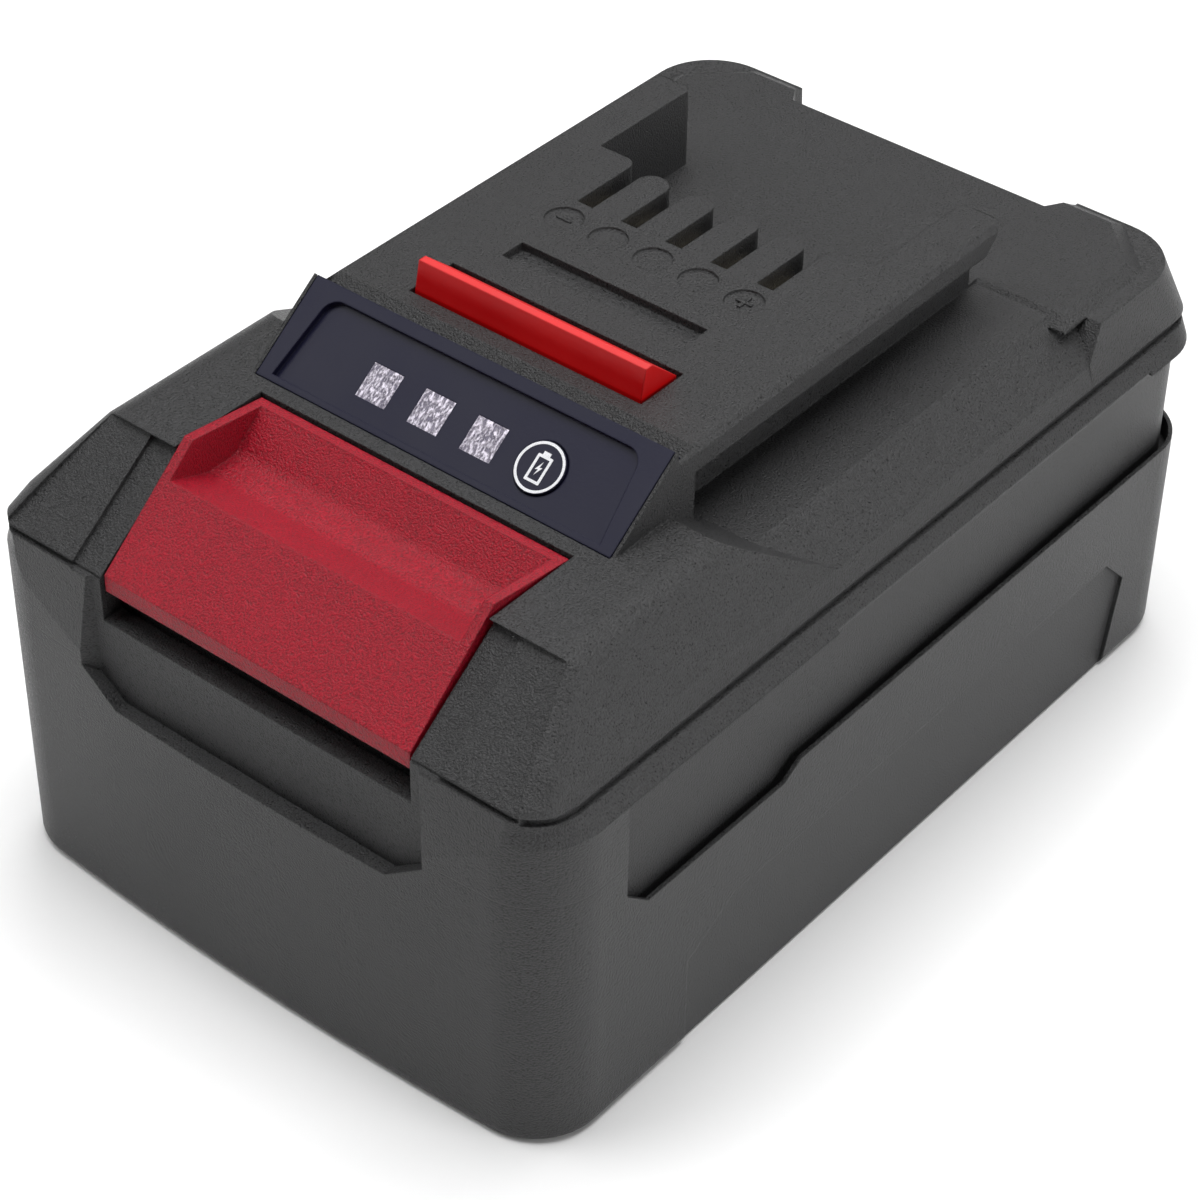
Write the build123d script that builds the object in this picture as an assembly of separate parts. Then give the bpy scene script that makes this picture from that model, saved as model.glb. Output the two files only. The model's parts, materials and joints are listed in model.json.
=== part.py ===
from build123d import *
import math
import os

# Power tool battery pack, ten cells, with a sprung release button and a charge gauge.
# Millimetres. X is the width, +Y points from the release button to the rear, +Z is up.
# The origin is the bottom centre of the pack's box, on the surface that it stands on.

# Overall sizes
width = 78.0
length = 119.0
plateau_height = 60.7
corner_radius = 8.0
front_bow = 1.0
wall = 2.2
cut_over = 10.0
running_gap = 0.3
seat_gap = 0.1

# Lower case
floor_thickness = 2.2
bottom_rounding = 1.5
rim_height = 27.8
front_rim_height = 33.4
low_rim_height = 26.2
rim_step_height = 29.1
corner_block_depth = 13.2
rim_step_end = 16.6
rim_kink_start = 38.8
rim_kink_end = 41.6
vee_height = 29.0
vee_bottom_half = 18.8
vee_top_half = 24.8
grip_front = 23.5
grip_rear = 101.5
grip_top = 16.5
grip_corner = 4.3
grip_corner_run = 7.5
grip_depth = 0.5

# Upper case body
side_panel_depth = 1.4
rim_groove_lip = 0.5
rim_groove_depth = 2.5
bevel_bottom = 41.0
bevel_top = 42.8
bevel_run = 1.7
bevel_front = 47.0
bevel_rear = 106.0
bevel_tick = 0.4
waist_groove_height = 0.9
waist_groove_depth = 0.6
steep_top = 46.3
steep_run = 1.1
shoulder_inset = 8.8
shoulder_height = 50.4
rear_floor_height = 50.8
rear_block_start = 97.0
rear_crown_inset = 5.6
rear_crown_run = 1.9
rear_wall_front = 96.3
rear_wall_lean = 3.3
rear_wall_inset = 3.8
rear_ledge_height = 49.8
rear_corner_cut = 7.0
rear_notch_half = 18.0
rear_notch_run = 1.8
rear_notch_depth = 3.0
rear_crown_setback = 0.9
rear_ledge_setback = 0.5
rear_ledge_radius = 8.0
rear_foot_radius = 5.0
deck_thickness = 2.4

# Front head of the upper case
head_height = 54.4
head_inset = 8.0
head_rounding = 4.0
slope_bottom_height = 44.8
slope_bottom_setback = 1.8
slope_top_setback = 14.6
front_lean = 1.6
slope_panel_depth = 0.6
slope_panel_top_inset = 8.7
slope_panel_bottom_inset = 4.4
slope_panel_end = 0.8
slope_groove = 0.6
side_strip_depth = 1.1
head_rear_top = 37.0
head_rear_bottom = 50.6
head_rear_drop = 8.7
centre_panel_half = 22.2
centre_panel_setback = 1.5
well_half = 21.1
well_sill = 38.9
well_rear = 26.2

# Plateau, rails, fingers and arms
plateau_half = 24.4
plateau_front = 38.6
rail_thickness = 3.0
neck_half = 20.6
groove_front = 41.0
plateau_skin = 2.5
arm_inner_half = 18.7
arm_inner_front = 78.5
plateau_edge = 0.7
arm_rear = 95.0
arm_rounding = 1.5
arm_inner_rounding = 1.0
arm_end_run = 3.2
finger_front = 68.0
finger_rear = 77.7
finger_rounding = 1.9
inner_corner_rounding = 1.5
terminal_pitch = 6.14
slot_width = 2.2
terminal_count = 5
disc_from_front = 64.5
disc_radius = 2.2
disc_depth = 0.25
recess_front = 54.6
recess_rear = 57.9
recess_half = 12.6
recess_depth = 1.0

# Latch bar and release button
latch_half = 15.2
latch_front = 43.7
latch_rear = 49.4
latch_rise = 3.4
latch_ridge_setback = 0.7
latch_ridge_width = 1.0
latch_skirt = 3.7
latch_slot_side_gap = 0.4
latch_slot_front_gap = 0.5
latch_slot_rear_gap = 0.7
button_side_gap = 0.35
button_front = 2.4
button_lip_bottom = 42.7
button_lip_top = 44.7
button_bend_setback = 14.8
button_bend_height = 55.3
button_rear_height = 54.0
button_rear_gap = 0.3
button_skin = 2.0
button_wall = 1.6
button_skirt_bottom = 45.2
scoop_front = 11.2
scoop_floor_height = 50.2
scoop_floor_front = 16.5
scoop_floor_rear = 20.5
scoop_rear = 24.6
scoop_side = 1.2
arm_thickness = 1.8
arm_half = 15.0
arm_top = 48.2

# Latch springs and their cups
spring_x = 12.0
spring_from_front = 12.0
spring_radius = 2.45
spring_wire = 0.7
spring_turns = 6
cup_wall = 1.2
cup_floor_height = 38.4
cup_floor = 1.0
cup_gap = 0.4
sill_shelf_thickness = 1.4
sill_shelf_rear = 14.6
sill_wall_front = 5.0
sill_wall_thickness = 1.2
sill_wall_top = 41.2

# Gauge panel, on a slope
gauge_half = 23.9
gauge_bottom_setback = 28.3
gauge_under_head = 0.1
gauge_top_setback = 38.2
gauge_over_plateau = 0.9
bezel_thickness = 2.4
bezel_field_depth = 0.7
bezel_border = 1.5
bezel_field_bottom_half = 22.1
bezel_field_top_half = 20.9
bezel_field_rounding = 2.0
window_size = 4.0
window_pitch = 7.1
window_first_x = -10.3
window_count = 3
window_along = 4.9
window_length = 2.6
gauge_board_gap = 2.2
gauge_board_thickness = 1.2
gauge_board_margin = 1.6
gauge_board_half = 19.0
gauge_cavity_half = 20.2
check_x = 11.4
check_radius = 2.9
check_gap = 0.12
check_flange = 0.8
check_flange_thickness = 0.6
check_stand = 0.3
check_travel = 0.5
light_size = 2.0
light_height = 0.9
switch_size = 4.2
switch_height = 1.0

# Cells and holders
cell_diameter = 18.4
cell_side = 6.4
cell_nub_radius = 3.6
cell_nub_height = 0.8
cell_pitch = 18.9
cell_columns = 5
cell_rows = 2
cell_first = 24.0
cell_pad = 0.8
holder_wall = 0.7
holder_depth = 8.0
holder_end_wall = 1.2
bore_gap = 0.02
frame_depth = 2.0
strip_thickness = 0.3
strip_width = 8.0
strip_end = 5.0
ring_inner_radius = 4.0
ring_outer_radius = 8.2
card_thickness = 0.4
card_gap = 0.1

# Boards, terminals and leads
board_thickness = 1.6
board_height = 43.2
board_inset = 11.0
board_front = 53.0
board_rear = 108.0
board_post_side = 12.4
board_post_radius = 1.9
board_post_inset = 4.0
board_screw_radius = 1.1
board_screw_head = 1.8
board_screw_head_height = 1.1
chip_height = 1.6
transistor_width = 6.6
transistor_length = 9.4
transistor_height = 2.2
transistor_pitch = 10.5
transistor_count = 3
transistor_from_front = 88.0
chip_size = 9.0
chip_from_front = 60.0
clip_leaf = 0.45
clip_play = 0.12
clip_front = 69.4
clip_rear = 75.2
clip_top = 57.4
clip_base = 0.6
terminal_block_half = 15.6
terminal_block_front = 67.6
terminal_block_rear = 77.2
terminal_block_gap = 0.3
lead_width = 3.0
lead_thickness = 0.5
lead_foot = 1.6
thermistor_size = 3.0
ribbon_inner = 16.2
ribbon_outer = 18.2
ribbon_thickness = 0.4

# Case screws
screw_side = 9.0
screw_front = 7.6
screw_rear = 113.7
screw_boss_radius = 3.3
screw_radius = 1.5
screw_head_radius = 2.8
screw_head_height = 2.4
screw_head_depth = 4.0
screw_grip = 8.0
screw_socket_radius = 1.2
screw_socket_depth = 1.2
boss_split = 26.0

# Worked out from the sizes above
half_width = width / 2
waist_half = half_width - bevel_run
shoulder_half = half_width - shoulder_inset
rear_crown_half = half_width - rear_crown_inset
rear_wall_half = half_width - rear_wall_inset
head_half = half_width - head_inset
slope_panel_top_half = half_width - slope_panel_top_inset
slope_panel_bottom_half = half_width - slope_panel_bottom_inset
board_half = half_width - board_inset
board_post_x = half_width - board_post_side
screw_x = half_width - screw_side
cell_length = width - cell_side - cell_side
cell_radius = cell_diameter / 2
cell_half = cell_length / 2
row_low = floor_thickness + cell_pad + holder_wall + cell_radius
rows = [row_low + i * cell_pitch for i in range(cell_rows)]
cells_top = rows[-1] + cell_radius
holder_top = cells_top + holder_wall
terminal_places = [(i - (terminal_count - 1) / 2) * terminal_pitch for i in range(terminal_count)]
gauge_bottom_height = head_height - gauge_under_head
gauge_top_height = plateau_height + gauge_over_plateau
gauge_run = gauge_top_setback - gauge_bottom_setback
gauge_rise = gauge_top_height - gauge_bottom_height
gauge_along = math.hypot(gauge_run, gauge_rise)
slope_run = slope_top_setback - slope_bottom_setback
slope_rise = head_height - slope_bottom_height
slope_along = math.hypot(slope_run, slope_rise)


def at(setback):
    """Y of a place that lies this far behind the front of the pack."""
    return setback - length / 2


columns = [at(cell_first + i * cell_pitch) for i in range(cell_columns)]


def slab(x0, x1, y0, y1, z0, z1):
    """Box between two corners."""
    middle = ((x0 + x1) / 2, (y0 + y1) / 2, (z0 + z1) / 2)
    return Pos(*middle) * Box(abs(x1 - x0), abs(y1 - y0), abs(z1 - z0))


def across(half, y0, y1, z0, z1):
    """Box that is the same on both sides of the middle."""
    return slab(-half, half, y0, y1, z0, z1)


def side_prism(points, half):
    """Prism along X of an outline given as (setback, height)."""
    places = [(at(setback), height) for setback, height in points]
    face = make_face(Polyline(*places, close=True))
    return extrude(Plane.YZ * face, half, both=True)


def front_prism(points, y0, y1):
    """Prism along Y of an outline given as (x, height)."""
    face = make_face(Polyline(*points, close=True))
    return extrude(Plane.XZ.offset(-y0) * face, -(y1 - y0))


def post(x, y, radius, z0, z1):
    """Upright cylinder."""
    return Pos(x, y, (z0 + z1) / 2) * Cylinder(radius, z1 - z0)


def both_sides(piece):
    """The piece and its mirror image across the middle."""
    return piece + piece.mirror(Plane.YZ)


def outline(inset, rear_extra=0, front_inset=None, radius=None):
    """Plan of the pack, drawn in by an inset, with a slightly bowed front."""
    half = half_width - inset
    radius = corner_radius - inset if radius is None else radius
    straight = half - radius
    front_inset = inset if front_inset is None else front_inset
    front = at(front_inset + front_bow)
    middle = at(front_inset)
    rear = at(length - inset - rear_extra)
    lean = radius * math.sqrt(1 / 2)
    bow = ThreePointArc((-straight, front), (0, middle), (straight, front))
    front_right = ThreePointArc((straight, front), (straight + lean, front + radius - lean),
                                (half, front + radius))
    right = Line((half, front + radius), (half, rear - radius))
    rear_right = ThreePointArc((half, rear - radius), (straight + lean, rear - radius + lean),
                               (straight, rear))
    back = Line((straight, rear), (-straight, rear))
    rear_left = ThreePointArc((-straight, rear), (-straight - lean, rear - radius + lean),
                              (-half, rear - radius))
    left = Line((-half, rear - radius), (-half, front + radius))
    front_left = ThreePointArc((-half, front + radius), (-straight - lean, front + radius - lean),
                               (-straight, front))
    return make_face([bow, front_right, right, rear_right, back, rear_left, left, front_left])


def prism(inset, z0, z1, rear_extra=0, front_inset=None):
    """Prism of the plan between two heights."""
    return extrude(Pos(0, 0, z0) * outline(inset, rear_extra, front_inset), z1 - z0)


def below_parting():
    """Everything under the line where the two halves of the case meet."""
    profile = [(-cut_over, -cut_over), (length + cut_over, -cut_over), (length + cut_over, rim_height),
               (rim_kink_end, rim_height), (rim_kink_start, low_rim_height),
               (rim_step_end, low_rim_height), (corner_block_depth, rim_step_height),
               (corner_block_depth, front_rim_height), (-cut_over, front_rim_height)]
    block = side_prism(profile, width)
    top = front_rim_height + cut_over
    notch = [(-vee_bottom_half, vee_height), (vee_bottom_half, vee_height),
             (vee_top_half, front_rim_height), (vee_top_half, top), (-vee_top_half, top),
             (-vee_top_half, front_rim_height)]
    return block - front_prism(notch, at(-cut_over), at(corner_block_depth + wall))


def grip_recess():
    """Shallow recess low on each side, where the pack is held."""
    points = [(grip_front, -cut_over), (grip_front, grip_top - grip_corner),
              (grip_front + grip_corner_run, grip_top), (grip_rear, grip_top),
              (grip_rear + grip_corner, grip_top - grip_corner), (grip_rear, -cut_over)]
    block = side_prism(points, width)
    return block - across(half_width - grip_depth, at(-cut_over), at(length + cut_over),
                          -cut_over, grip_top + cut_over)


def screw_places():
    """Plan places of the four case screws."""
    return [(side * screw_x, at(setback)) for setback in (screw_front, screw_rear) for side in (-1, 1)]


def lower_case():
    """Tub with raised front corners, screw towers and ribs under the cells."""
    shell = prism(0, 0, front_rim_height)
    shell = fillet(shell.faces().sort_by(Axis.Z)[0].edges(), bottom_rounding)
    shell -= grip_recess()
    shell = shell & below_parting()
    shell -= prism(wall, floor_thickness, front_rim_height + cut_over)
    for x, y in screw_places():
        shell += post(x, y, screw_boss_radius, floor_thickness, boss_split)
    shell = shell & prism(0, 0, front_rim_height)
    for x, y in screw_places():
        shell -= post(x, y, screw_head_radius + seat_gap, -cut_over, screw_head_depth)
        shell -= post(x, y, screw_radius + seat_gap, screw_head_depth - cut_over, boss_split + cut_over)
    return shell - rim_groove()


def rim_groove():
    """Groove behind the lip of the rim, along the sides and the rear."""
    top = front_rim_height + cut_over
    ring = prism(rim_groove_lip, low_rim_height - rim_groove_depth - cut_over, top)
    ring -= prism(side_panel_depth, -cut_over, top + cut_over)
    ring -= across(width, at(-cut_over), at(corner_block_depth + rim_groove_lip), -cut_over, top + cut_over)
    return ring - Pos(0, 0, -rim_groove_depth) * below_parting()


def body_section(half_top, top):
    """Section of the case above its waist, from the steep side to the flat top."""
    steep = waist_half - steep_run
    points = [(-waist_half, bevel_top), (-steep, steep_top), (-half_top, top), (half_top, top),
              (steep, steep_top), (waist_half, bevel_top)]
    return points


def rear_walls():
    """Side walls of the rear block, with their front ends leaning back."""
    ledge_inset = half_width - rear_wall_half
    foot = outline(bevel_run, -bevel_run, radius=rear_foot_radius)
    ledge = outline(ledge_inset, rear_ledge_setback - ledge_inset, radius=rear_ledge_radius)
    block = loft([Pos(0, 0, bevel_top) * foot, Pos(0, 0, rear_ledge_height) * ledge], ruled=True)
    block = block & across(width, at(rear_wall_front), at(length), bevel_top, rear_ledge_height)
    lean = [(rear_wall_front - cut_over, steep_top), (rear_wall_front, steep_top),
            (rear_wall_front + rear_wall_lean, rear_ledge_height),
            (rear_wall_front + rear_wall_lean, rear_ledge_height + cut_over),
            (rear_wall_front - cut_over, rear_ledge_height + cut_over)]
    return block - side_prism(lean, width)


def rear_crown():
    """Bevelled top of the rear block."""
    front = at(rear_block_start - rear_crown_run)
    rear = at(length - rear_crown_setback)
    points = [(-rear_crown_half, front), (rear_crown_half, front),
              (rear_crown_half, rear - rear_corner_cut), (rear_crown_half - rear_corner_cut, rear),
              (rear_corner_cut - rear_crown_half, rear), (-rear_crown_half, rear - rear_corner_cut)]
    face = Pos(0, 0, rear_ledge_height) * make_face(Polyline(*points, close=True))
    rise = rear_floor_height - rear_ledge_height
    return extrude(face, rise, taper=math.degrees(math.atan2(rear_crown_run, rise)))


def rear_notch():
    """What the notch in the rear edge takes off the body above the waist."""
    floor = at(length - rear_crown_run - rear_notch_depth)
    flare = rear_notch_half + rear_notch_run
    rear = floor + rear_notch_depth
    points = [(-rear_notch_half, floor), (rear_notch_half, floor), (flare, rear), (flare, rear + cut_over),
              (-flare, rear + cut_over), (-flare, rear)]
    face = Pos(0, 0, bevel_top) * make_face(Polyline(*points, close=True))
    return extrude(face, plateau_height - bevel_top)


def head_block():
    """Front head with soft long edges, its slope and its ramp down to the shoulders."""
    block = front_prism(body_section(head_half, head_height), at(0), at(head_rear_bottom))
    block -= slope_plane() * across(width, -length, length, slope_panel_depth, slope_panel_depth + length)
    soft = [edge for edge in block.edges()
            if abs(edge.center().X) > head_half / 2 and on_upper_faces(edge)]
    block = fillet(soft, head_rounding)
    drop = head_height - head_rear_drop
    ramp_run = head_rear_bottom - head_rear_top
    ramp = [(head_rear_top, head_height), (head_rear_bottom + ramp_run, drop - head_rear_drop),
            (head_rear_bottom + ramp_run, head_height + cut_over), (head_rear_top, head_height + cut_over)]
    block -= side_prism(ramp, width)
    return block & prism(bevel_run, bevel_top, head_height + cut_over, front_inset=0)


def on_upper_faces(edge):
    """Whether an edge of the head lies on its top or on its slope."""
    middle = edge.center()
    if abs(middle.Z - head_height) < seat_gap:
        return True
    level = slope_plane().to_local_coords(middle).Z
    return abs(level - slope_panel_depth) < seat_gap


def slope_plane():
    """Plane of the two sloped panels beside the button, from their lower edge, Y up the slope."""
    origin = (0, at(slope_bottom_setback), slope_bottom_height)
    normal = (0, -slope_rise / slope_along, slope_run / slope_along)
    return Plane(origin=origin, x_dir=(1, 0, 0), z_dir=normal)


def slope_panels():
    """What the two sloped panels, the strips beside the button and the grooves take off the head."""
    over = cut_over / 2
    end = slope_along - slope_panel_end
    spread = (slope_panel_bottom_half - slope_panel_top_half) / slope_along
    points = [(vee_top_half, -over), (slope_panel_bottom_half + over * spread, -over),
              (slope_panel_bottom_half - end * spread, end), (vee_top_half, end)]
    panel = extrude(make_face(Polyline(*points, close=True)), cut_over)
    strip_cut = slab(well_half - wall, vee_top_half, -over, end, slope_panel_depth - side_strip_depth,
                     cut_over)
    cuts = slope_plane() * (panel + strip_cut)
    groove = slab(well_half - wall, slope_panel_bottom_half, at(-cut_over), at(front_lean + slope_groove),
                  slope_bottom_height - slope_groove, slope_bottom_height)
    return both_sides(cuts + groove)


def front_lean_cut():
    """What the slight lean of the front takes off the upper case."""
    points = [(-cut_over, front_rim_height), (front_bow / 2, front_rim_height),
              (front_lean, slope_bottom_height), (front_lean, head_height + cut_over),
              (-cut_over, head_height + cut_over)]
    return side_prism(points, width)


def waist_groove():
    """Groove over the bevel, along the sides and the rear, that rises round the front corners."""
    top = bevel_top + waist_groove_height
    low_end = slope_bottom_height - waist_groove_height
    band = [(-cut_over, low_end), (front_lean, low_end), (corner_radius, bevel_top),
            (length + cut_over, bevel_top), (length + cut_over, top), (corner_radius, top),
            (front_lean, slope_bottom_height), (-cut_over, slope_bottom_height)]
    inside = prism(bevel_run + waist_groove_depth, bevel_bottom, head_height, rear_extra=-bevel_run,
                   front_inset=waist_groove_depth)
    middle = across(slope_panel_bottom_half, at(-cut_over), at(corner_radius), bevel_bottom, head_height)
    return side_prism(band, width) - inside - middle


def centre_panel_cut():
    """The middle of the front stands back from the two corner blocks."""
    flank = vee_top_half - centre_panel_half
    setback = centre_panel_setback + front_bow / 2
    points = [(-vee_top_half, at(-cut_over)), (vee_top_half, at(-cut_over)),
              (vee_top_half, at(setback - flank)), (centre_panel_half, at(setback)),
              (-centre_panel_half, at(setback)),
              (-vee_top_half, at(setback - flank))]
    face = Pos(0, 0, vee_height) * make_face(Polyline(*points, close=True))
    return extrude(face, slope_bottom_height - slope_groove - vee_height)


def case_outside():
    """Outer form of the upper case under the plateau."""
    form = prism(0, low_rim_height, bevel_bottom)
    form += loft([Pos(0, 0, bevel_bottom) * outline(0),
                  Pos(0, 0, bevel_top) * outline(bevel_run, -bevel_run, 0)], ruled=True)
    middle = front_prism(body_section(shoulder_half, shoulder_height), at(slope_top_setback),
                         at(rear_wall_front + rear_wall_lean))
    form += (middle + rear_walls() + rear_crown() - rear_notch()) + head_block()
    form -= front_lean_cut() + slope_panels() + waist_groove()
    panel = across(width, at(corner_block_depth), at(length + cut_over), -cut_over, bevel_bottom)
    form -= panel - prism(side_panel_depth, -cut_over, bevel_bottom + cut_over)
    tick = across(width, at(bevel_front), at(bevel_rear), bevel_bottom - cut_over, bevel_bottom + bevel_tick)
    tick -= across(half_width - bevel_tick, at(-cut_over), at(length + cut_over),
                   -cut_over, bevel_top + cut_over)
    return form - tick - centre_panel_cut()


def plateau():
    """Raised plateau with its rail flanges, arms, fingers and the wedge that carries the gauge."""
    flange_bottom = plateau_height - rail_thickness
    top = across(plateau_half, at(plateau_front), at(arm_rear), flange_bottom, plateau_height)
    neck = across(neck_half, at(plateau_front), at(arm_rear), shoulder_height - wall, plateau_height)
    front = across(plateau_half, at(gauge_bottom_setback), at(groove_front),
                   shoulder_height - wall, plateau_height)
    block = top + neck + front
    block += across(neck_half, at(arm_rear - wall), at(rear_block_start + wall), shoulder_height - wall,
                    rear_floor_height)
    inner = across(arm_inner_half, at(arm_inner_front), at(arm_rear + cut_over),
                   rear_floor_height, plateau_height + cut_over)
    outer_slot = terminal_places[-1] + slot_width / 2
    inner += across(outer_slot, at(finger_rear), at(arm_rear), rear_floor_height, plateau_height + cut_over)
    block -= inner
    block = fillet(upright_edges(block, plateau_half, at(arm_rear)), arm_rounding)
    block = fillet(upright_edges(block, arm_inner_half, at(arm_rear)), arm_inner_rounding)
    end = [(arm_rear - arm_end_run, flange_bottom), (arm_rear, plateau_height),
           (arm_rear + cut_over, plateau_height), (arm_rear + cut_over, flange_bottom)]
    middle = across(neck_half, at(-cut_over), at(length + cut_over), -cut_over, plateau_height + cut_over)
    return block - (side_prism(end, width) - middle)


def upright_edges(block, half, y):
    """Upright edges of a block at one place, on both sides of the middle."""
    return [edge for edge in block.edges().filter_by(Axis.Z)
            if abs(abs(edge.center().X) - half) < seat_gap and abs(edge.center().Y - y) < seat_gap]


def terminal_slots():
    """Terminal slots between the fingers, as cuts."""
    cut = None
    gap_half = slot_width / 2
    for x in terminal_places:
        slot = slab(x - gap_half, x + gap_half, at(finger_front), at(finger_rear + cut_over),
                    rear_floor_height, plateau_height + cut_over)
        cut = slot if cut is None else cut + slot
    return cut


def round_fingers(block):
    """Round the free rear corners of the fingers and of the steps beside them."""
    level = at(finger_rear)
    corners = [edge for edge in block.edges().filter_by(Axis.Z)
               if abs(edge.center().Y - level) < seat_gap
               and abs(edge.center().X) < terminal_places[-1] + seat_gap
               and edge.center().Z > rear_floor_height]
    block = fillet(corners, finger_rounding) if corners else block
    steps = upright_edges(block, terminal_places[-1] + slot_width / 2, at(arm_inner_front))
    return fillet(steps, inner_corner_rounding) if steps else block


def plateau_edges():
    """What the bevels along the upper edges of the flanges take off."""
    inner = plateau_half - plateau_edge
    outer = plateau_half + plateau_edge
    points = [(inner, plateau_height), (plateau_half, plateau_height - plateau_edge),
              (outer, plateau_height - plateau_edge), (outer, plateau_height + cut_over),
              (inner, plateau_height + cut_over)]
    return both_sides(front_prism(points, at(gauge_top_setback), at(length)))


def gauge_plane():
    """Plane of the gauge panel, from its lower edge, with X across and Y up the slope."""
    origin = (0, at(gauge_bottom_setback), gauge_bottom_height)
    normal = (0, -gauge_rise / gauge_along, gauge_run / gauge_along)
    return Plane(origin=origin, x_dir=(1, 0, 0), z_dir=normal)


def on_gauge(half, along0, along1, depth0, depth1, middle=0):
    """Box on the gauge panel; depths are measured down from its face."""
    box = slab(middle - half, middle + half, along0, along1, -depth1, -depth0)
    return gauge_plane() * box


def case_cavity():
    """Room inside the upper case."""
    low = prism(wall + side_panel_depth, -cut_over, steep_top - wall, rear_extra=rear_notch_depth)
    low -= across(width, at(-cut_over), at(wall + centre_panel_setback + front_bow), -cut_over,
                  plateau_height)
    high_half = shoulder_half + side_panel_depth / 2
    high = across(high_half, at(slope_top_setback + wall), at(length - rear_corner_cut - wall),
                  rim_height, shoulder_height - deck_thickness)
    under_head = across(head_half - wall - wall, at(well_rear), at(head_rear_top), rim_height,
                        shoulder_height - deck_thickness)
    neck_room = across(neck_half - wall, at(well_rear + wall), at(finger_front - wall),
                       bevel_bottom, gauge_bottom_height - wall - wall)
    crown_room = across(neck_half - wall, at(plateau_front + wall / 2), at(finger_front - wall), bevel_bottom,
                        plateau_height - plateau_skin)
    return low + high + under_head + neck_room + crown_room


def button_well():
    """Well of the release button, open at the front above its sill."""
    deep = across(well_half, at(wall + centre_panel_setback + front_bow), at(well_rear), rim_height,
                  head_height + cut_over)
    mouth = across(well_half, at(-cut_over), at(well_rear), well_sill, head_height + cut_over)
    passage = across(arm_half + running_gap + wall, at(well_rear - wall), at(latch_rear), cells_top,
                     arm_top + arm_thickness)
    return deep + mouth + passage


def spring_cups():
    """Sill shelf with an upright screen and a cup for each latch spring."""
    shelf_top = well_sill - sill_shelf_thickness
    radius = spring_radius + spring_wire / 2 + cup_gap
    front = at(centre_panel_setback + front_bow)
    shelf = across(well_half + wall, front, at(sill_shelf_rear), shelf_top - sill_shelf_thickness, shelf_top)
    shelf += across(well_half + wall, at(sill_wall_front), at(sill_wall_front + sill_wall_thickness),
                    shelf_top, sill_wall_top)
    place = at(spring_from_front)
    for side in (-1, 1):
        shelf += post(side * spring_x, place, radius + cup_wall, cup_floor_height - cup_floor,
                      cup_floor_height + cup_wall)
        shelf -= post(side * spring_x, place, radius, cup_floor_height, cup_floor_height + cut_over)
    return shelf


def gauge_seat():
    """What the bezel, its board and its check button take out of the upper case."""
    seat = on_gauge(gauge_half + seat_gap, -seat_gap, gauge_along + cut_over, -cut_over,
                    bezel_thickness + seat_gap)
    back = bezel_thickness + gauge_board_gap + gauge_board_thickness + gauge_board_gap
    room = on_gauge(gauge_cavity_half, gauge_board_margin - seat_gap,
                    gauge_along - gauge_board_margin + seat_gap, 0, back)
    return seat + room


def upper_case():
    """Lid with the shoulders, plateau, rails, terminal slots and the button's well."""
    shell = case_outside() + plateau()
    wedge = [(gauge_bottom_setback - wall, head_height - wall),
             (gauge_top_setback + wall, head_height - wall),
             (gauge_top_setback + wall, plateau_height), (gauge_top_setback, gauge_top_height),
             (gauge_bottom_setback, gauge_bottom_height)]
    shell = shell - gauge_face_cut() + side_prism(wedge, plateau_half) - plateau_edges()
    shell -= case_cavity()
    shell -= terminal_slots()
    shell = round_fingers(shell)
    shell -= button_well()
    shell -= gauge_seat()
    shell -= latch_slot()
    shell -= across(terminal_block_half + seat_gap, at(terminal_block_front - seat_gap),
                    at(terminal_block_rear + seat_gap), cells_top, rear_floor_height)
    shell -= across(recess_half, at(recess_front), at(recess_rear), plateau_height - recess_depth,
                    plateau_height + cut_over)
    for x in terminal_places:
        shell -= post(x, at(disc_from_front), disc_radius, plateau_height - disc_depth,
                      plateau_height + cut_over)
    shell += spring_cups()
    for x, y in screw_places():
        shell += post(x, y, screw_boss_radius, boss_split, steep_top - wall / 2)
    shell -= lower_share()
    for x, y in screw_places():
        shell -= post(x, y, screw_radius, boss_split - cut_over, boss_split + screw_grip)
    return shell


def lower_share():
    """Space of the lower case, less the upper case's screw towers that reach down into it."""
    top = front_rim_height + cut_over
    towers = prism(wall + seat_gap, boss_split, top)
    posts = None
    for x, y in screw_places():
        tower = post(x, y, screw_boss_radius, boss_split, top)
        posts = tower if posts is None else posts + tower
    return below_parting() - (towers & posts)


def gauge_face_cut():
    """Material over the slope of the gauge panel."""
    return on_gauge(plateau_half + cut_over, -cut_over / 2, gauge_along, -cut_over - cut_over, 0) \
        & across(plateau_half + seat_gap, at(gauge_bottom_setback - wall), at(gauge_top_setback + wall),
                 head_height, plateau_height + cut_over)


def latch_slot():
    """Slot in the plateau for the latch bar."""
    return across(latch_half + latch_slot_side_gap, at(latch_front - latch_slot_front_gap),
                  at(latch_rear + latch_slot_rear_gap), arm_top, plateau_height + cut_over)


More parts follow.
